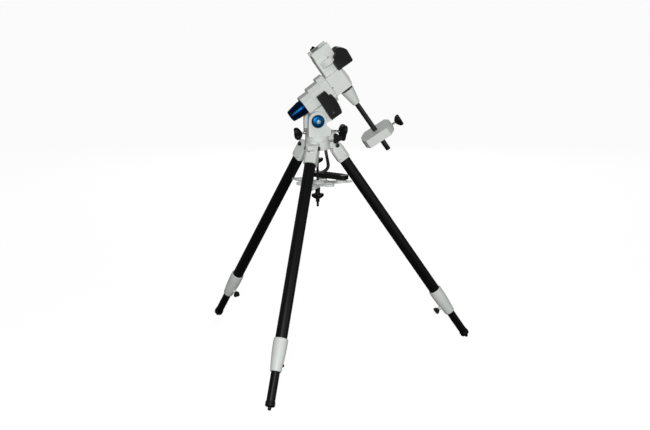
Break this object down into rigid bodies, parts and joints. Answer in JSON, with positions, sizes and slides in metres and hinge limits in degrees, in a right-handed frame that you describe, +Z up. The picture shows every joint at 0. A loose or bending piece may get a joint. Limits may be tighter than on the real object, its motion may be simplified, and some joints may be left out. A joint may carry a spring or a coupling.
{
  "type": "equatorial telescope mount",
  "caption": "Motorised equatorial telescope mount on a three-legged steel tripod, with accessory tray, counterweight and wired hand controller.",
  "frame": {"origin": "on the floor, below the middle of the box round the whole mount", "axes": "+Z up, +X towards the pole (north), in the plane that holds the polar axis; -Y is the side with the motor covers"},
  "size_m": [0.9934, 1.1414, 1.2575],
  "materials": {
    "white_casting": "warm white powder coat on die-cast aluminium",
    "leg_black": "satin black paint on steel tube",
    "black_plastic": "fine-grained satin black plastic",
    "blue_anodised": "turned and blue anodised, glossy",
    "bright_steel": "bright turned steel",
    "dark_steel": "dark satin plated steel",
    "brass": "machined brass",
    "bare_aluminium": "machined aluminium",
    "rubber": "matt black rubber",
    "white_iron": "warm white powder coat on cast iron"
  },
  "bodies": {
    "root": {"tripod_hub": "white_casting", "leg_bolt_north": "bright_steel", "leg_bolt_far": "bright_steel", "leg_bolt_near": "bright_steel", "handset_cord": "rubber"},
    "mount_bolt": {"centre_rod": "dark_steel", "rod_knob": "black_plastic"},
    "tray": {"accessory_tray": "white_casting", "handset": "black_plastic", "handset_keypad": "rubber"},
    "tray_knob": {"tray_knob": "black_plastic"},
    "leg_north": {"leg_bracket_north": "white_casting", "leg_tube_north": "leg_black", "leg_collar_north": "white_casting"},
    "leg_extension_north": {"leg_inner_tube_north": "leg_black", "leg_foot_north": "black_plastic"},
    "leg_lock_north": {"leg_lock_knob_north": "black_plastic"},
    "leg_far": {"leg_bracket_far": "white_casting", "leg_tube_far": "leg_black", "leg_collar_far": "white_casting"},
    "leg_extension_far": {"leg_inner_tube_far": "leg_black", "leg_foot_far": "black_plastic"},
    "leg_lock_far": {"leg_lock_knob_far": "black_plastic"},
    "leg_near": {"leg_bracket_near": "white_casting", "leg_tube_near": "leg_black", "leg_collar_near": "white_casting"},
    "leg_extension_near": {"leg_inner_tube_near": "leg_black", "leg_foot_near": "black_plastic"},
    "leg_lock_near": {"leg_lock_knob_near": "black_plastic"},
    "azimuth": {"azimuth_base": "white_casting", "altitude_axle": "bright_steel", "altitude_cap_near": "blue_anodised", "altitude_cap_far": "blue_anodised", "cord_plug": "black_plastic"},
    "azimuth_screw_near": {"azimuth_knob_near": "black_plastic"},
    "azimuth_screw_far": {"azimuth_knob_far": "black_plastic"},
    "altitude": {"ra_housing": "white_casting", "ra_motor_cover": "black_plastic", "ra_worm_wheel": "brass", "ra_worm": "bright_steel"},
    "altitude_screw_front": {"altitude_knob_front": "black_plastic"},
    "altitude_screw_rear": {"altitude_knob_rear": "black_plastic"},
    "polar_cap": {"polar_cap": "blue_anodised"},
    "ra_clutch": {"ra_clutch_lever": "bare_aluminium"},
    "ra": {"ra_shaft": "bare_aluminium", "polar_scope": "bare_aluminium", "dec_housing": "white_casting", "dec_motor_cover": "black_plastic", "dec_worm_wheel": "brass", "dec_worm": "bright_steel"},
    "dec_clutch": {"dec_clutch_lever": "bare_aluminium"},
    "dec": {"dec_shaft": "bright_steel", "dec_setting_circle": "black_plastic", "shaft_cone": "white_casting", "counterweight_rod": "dark_steel", "saddle": "white_casting"},
    "saddle_knob": {"saddle_knob": "black_plastic"},
    "saddle_jaw": {"saddle_jaw": "bare_aluminium"},
    "counterweight": {"counterweight": "white_iron"},
    "counterweight_knob": {"counterweight_knob": "black_plastic"}
  },
  "joints": [
    {"name": "mount_bolt_turn", "type": "hinge", "parent": "root", "child": "mount_bolt", "pos_m": [-0.15891, 0, 0.795], "axis": [0, 0, 1], "continuous": true},
    {"name": "tray_slide", "type": "slide", "parent": "root", "child": "tray", "axis": [0, 0, 1], "range_m": [-0.0185, 0]},
    {"name": "tray_knob_turn", "type": "hinge", "parent": "tray", "child": "tray_knob", "pos_m": [-0.15891, 0, 0.65], "axis": [0, 0, 1], "continuous": true},
    {"name": "leg_north_fold", "type": "hinge", "parent": "root", "child": "leg_north", "pos_m": [-0.08441, 0, 0.85359], "axis": [0, 1, 0], "range_deg": [0, 3]},
    {"name": "leg_north_extend", "type": "slide", "parent": "leg_north", "child": "leg_extension_north", "axis": [0.565, 0, -0.8251], "range_m": [-0.1, 0.25]},
    {"name": "leg_north_lock_turn", "type": "hinge", "parent": "leg_north", "child": "leg_lock_north", "pos_m": [0.36343, 0, 0.13492], "axis": [-0.8251, 0, -0.565], "range_deg": [0, 540]},
    {"name": "leg_far_fold", "type": "hinge", "parent": "root", "child": "leg_far", "pos_m": [-0.19616, 0.06452, 0.85359], "axis": [-0.866, -0.5, 0], "range_deg": [0, 3]},
    {"name": "leg_far_extend", "type": "slide", "parent": "leg_far", "child": "leg_extension_far", "axis": [-0.2825, 0.4893, -0.8251], "range_m": [-0.1, 0.25]},
    {"name": "leg_far_lock_turn", "type": "hinge", "parent": "leg_far", "child": "leg_lock_far", "pos_m": [-0.42009, 0.45236, 0.13492], "axis": [0.4126, -0.7146, -0.565], "range_deg": [0, 540]},
    {"name": "leg_near_fold", "type": "hinge", "parent": "root", "child": "leg_near", "pos_m": [-0.19616, -0.06452, 0.85359], "axis": [0.866, -0.5, 0], "range_deg": [0, 3]},
    {"name": "leg_near_extend", "type": "slide", "parent": "leg_near", "child": "leg_extension_near", "axis": [-0.2825, -0.4893, -0.8251], "range_m": [-0.1, 0.25]},
    {"name": "leg_near_lock_turn", "type": "hinge", "parent": "leg_near", "child": "leg_lock_near", "pos_m": [-0.42009, -0.45236, 0.13492], "axis": [0.4126, 0.7146, -0.565], "range_deg": [0, 540]},
    {"name": "azimuth_turn", "type": "hinge", "parent": "root", "child": "azimuth", "pos_m": [-0.15891, 0, 0.887], "axis": [0, 0, 1], "range_deg": [-7.5, 7.5]},
    {"name": "azimuth_screw_near_slide", "type": "slide", "parent": "azimuth", "child": "azimuth_screw_near", "axis": [0, 1, 0], "range_m": [-0.0095, 0.0095]},
    {"name": "azimuth_screw_far_slide", "type": "slide", "parent": "azimuth", "child": "azimuth_screw_far", "axis": [0, 1, 0], "range_m": [-0.0095, 0.0095]},
    {"name": "altitude_tilt", "type": "hinge", "parent": "azimuth", "child": "altitude", "pos_m": [-0.16891, 0, 0.956], "axis": [0, -1, 0], "range_deg": [-14, 17]},
    {"name": "altitude_screw_front_slide", "type": "slide", "parent": "azimuth", "child": "altitude_screw_front", "axis": [-0.9962, 0, 0.0872], "range_m": [-0.0125, 0.0104]},
    {"name": "altitude_screw_rear_slide", "type": "slide", "parent": "azimuth", "child": "altitude_screw_rear", "axis": [0.9816, 0, 0.1908], "range_m": [-0.0102, 0.0123]},
    {"name": "polar_cap_turn", "type": "hinge", "parent": "altitude", "child": "polar_cap", "pos_m": [-0.23214, 0, 0.99531], "axis": [0.8171, 0, 0.5764], "continuous": true},
    {"name": "ra_clutch_turn", "type": "hinge", "parent": "altitude", "child": "ra_clutch", "pos_m": [-0.11938, 0.048, 1.07486], "axis": [0, 1, 0], "range_deg": [-60, 30]},
    {"name": "ra_turn", "type": "hinge", "parent": "altitude", "child": "ra", "pos_m": [-0.06871, 0, 1.1106], "axis": [0.8171, 0, 0.5764], "continuous": true},
    {"name": "dec_clutch_turn", "type": "hinge", "parent": "ra", "child": "dec_clutch", "pos_m": [-0.11589, 0.037, 1.15319], "axis": [0, 1, 0], "range_deg": [-20, 20]},
    {"name": "dec_turn", "type": "hinge", "parent": "ra", "child": "dec", "pos_m": [-0.1033, 0, 1.15963], "axis": [-0.5764, 0, 0.8171], "continuous": true},
    {"name": "saddle_knob_turn", "type": "hinge", "parent": "dec", "child": "saddle_knob", "pos_m": [-0.161, 0.03, 1.22234], "axis": [0, 1, 0], "range_deg": [0, 1152]},
    {"name": "saddle_jaw_slide", "type": "slide", "parent": "dec", "child": "saddle_jaw", "axis": [0, -1, 0], "range_m": [0, 0.0041]},
    {"name": "counterweight_slide", "type": "slide", "parent": "dec", "child": "counterweight", "axis": [-0.5764, 0, 0.8171], "range_m": [-0.05, 0.125]},
    {"name": "counterweight_knob_turn", "type": "hinge", "parent": "counterweight", "child": "counterweight_knob", "pos_m": [0.11936, -0.01035, 0.91102], "axis": [0.7893, -0.2588, 0.5568], "range_deg": [0, 540]}
  ],
  "couplings": [
    {"joint": "tray_slide", "follows": "leg_north_fold", "m_per_rad": -0.34},
    {"joint": "leg_far_fold", "follows": "leg_north_fold", "ratio": 1},
    {"joint": "leg_near_fold", "follows": "leg_north_fold", "ratio": 1},
    {"joint": "azimuth_screw_near_slide", "follows": "azimuth_turn", "m_per_rad": -0.066},
    {"joint": "azimuth_screw_far_slide", "follows": "azimuth_turn", "m_per_rad": -0.066},
    {"joint": "altitude_screw_front_slide", "follows": "altitude_tilt", "m_per_rad": -0.0418},
    {"joint": "altitude_screw_rear_slide", "follows": "altitude_tilt", "m_per_rad": 0.0412},
    {"joint": "saddle_jaw_slide", "follows": "saddle_knob_turn", "m_per_rad": 0.000199}
  ]
}
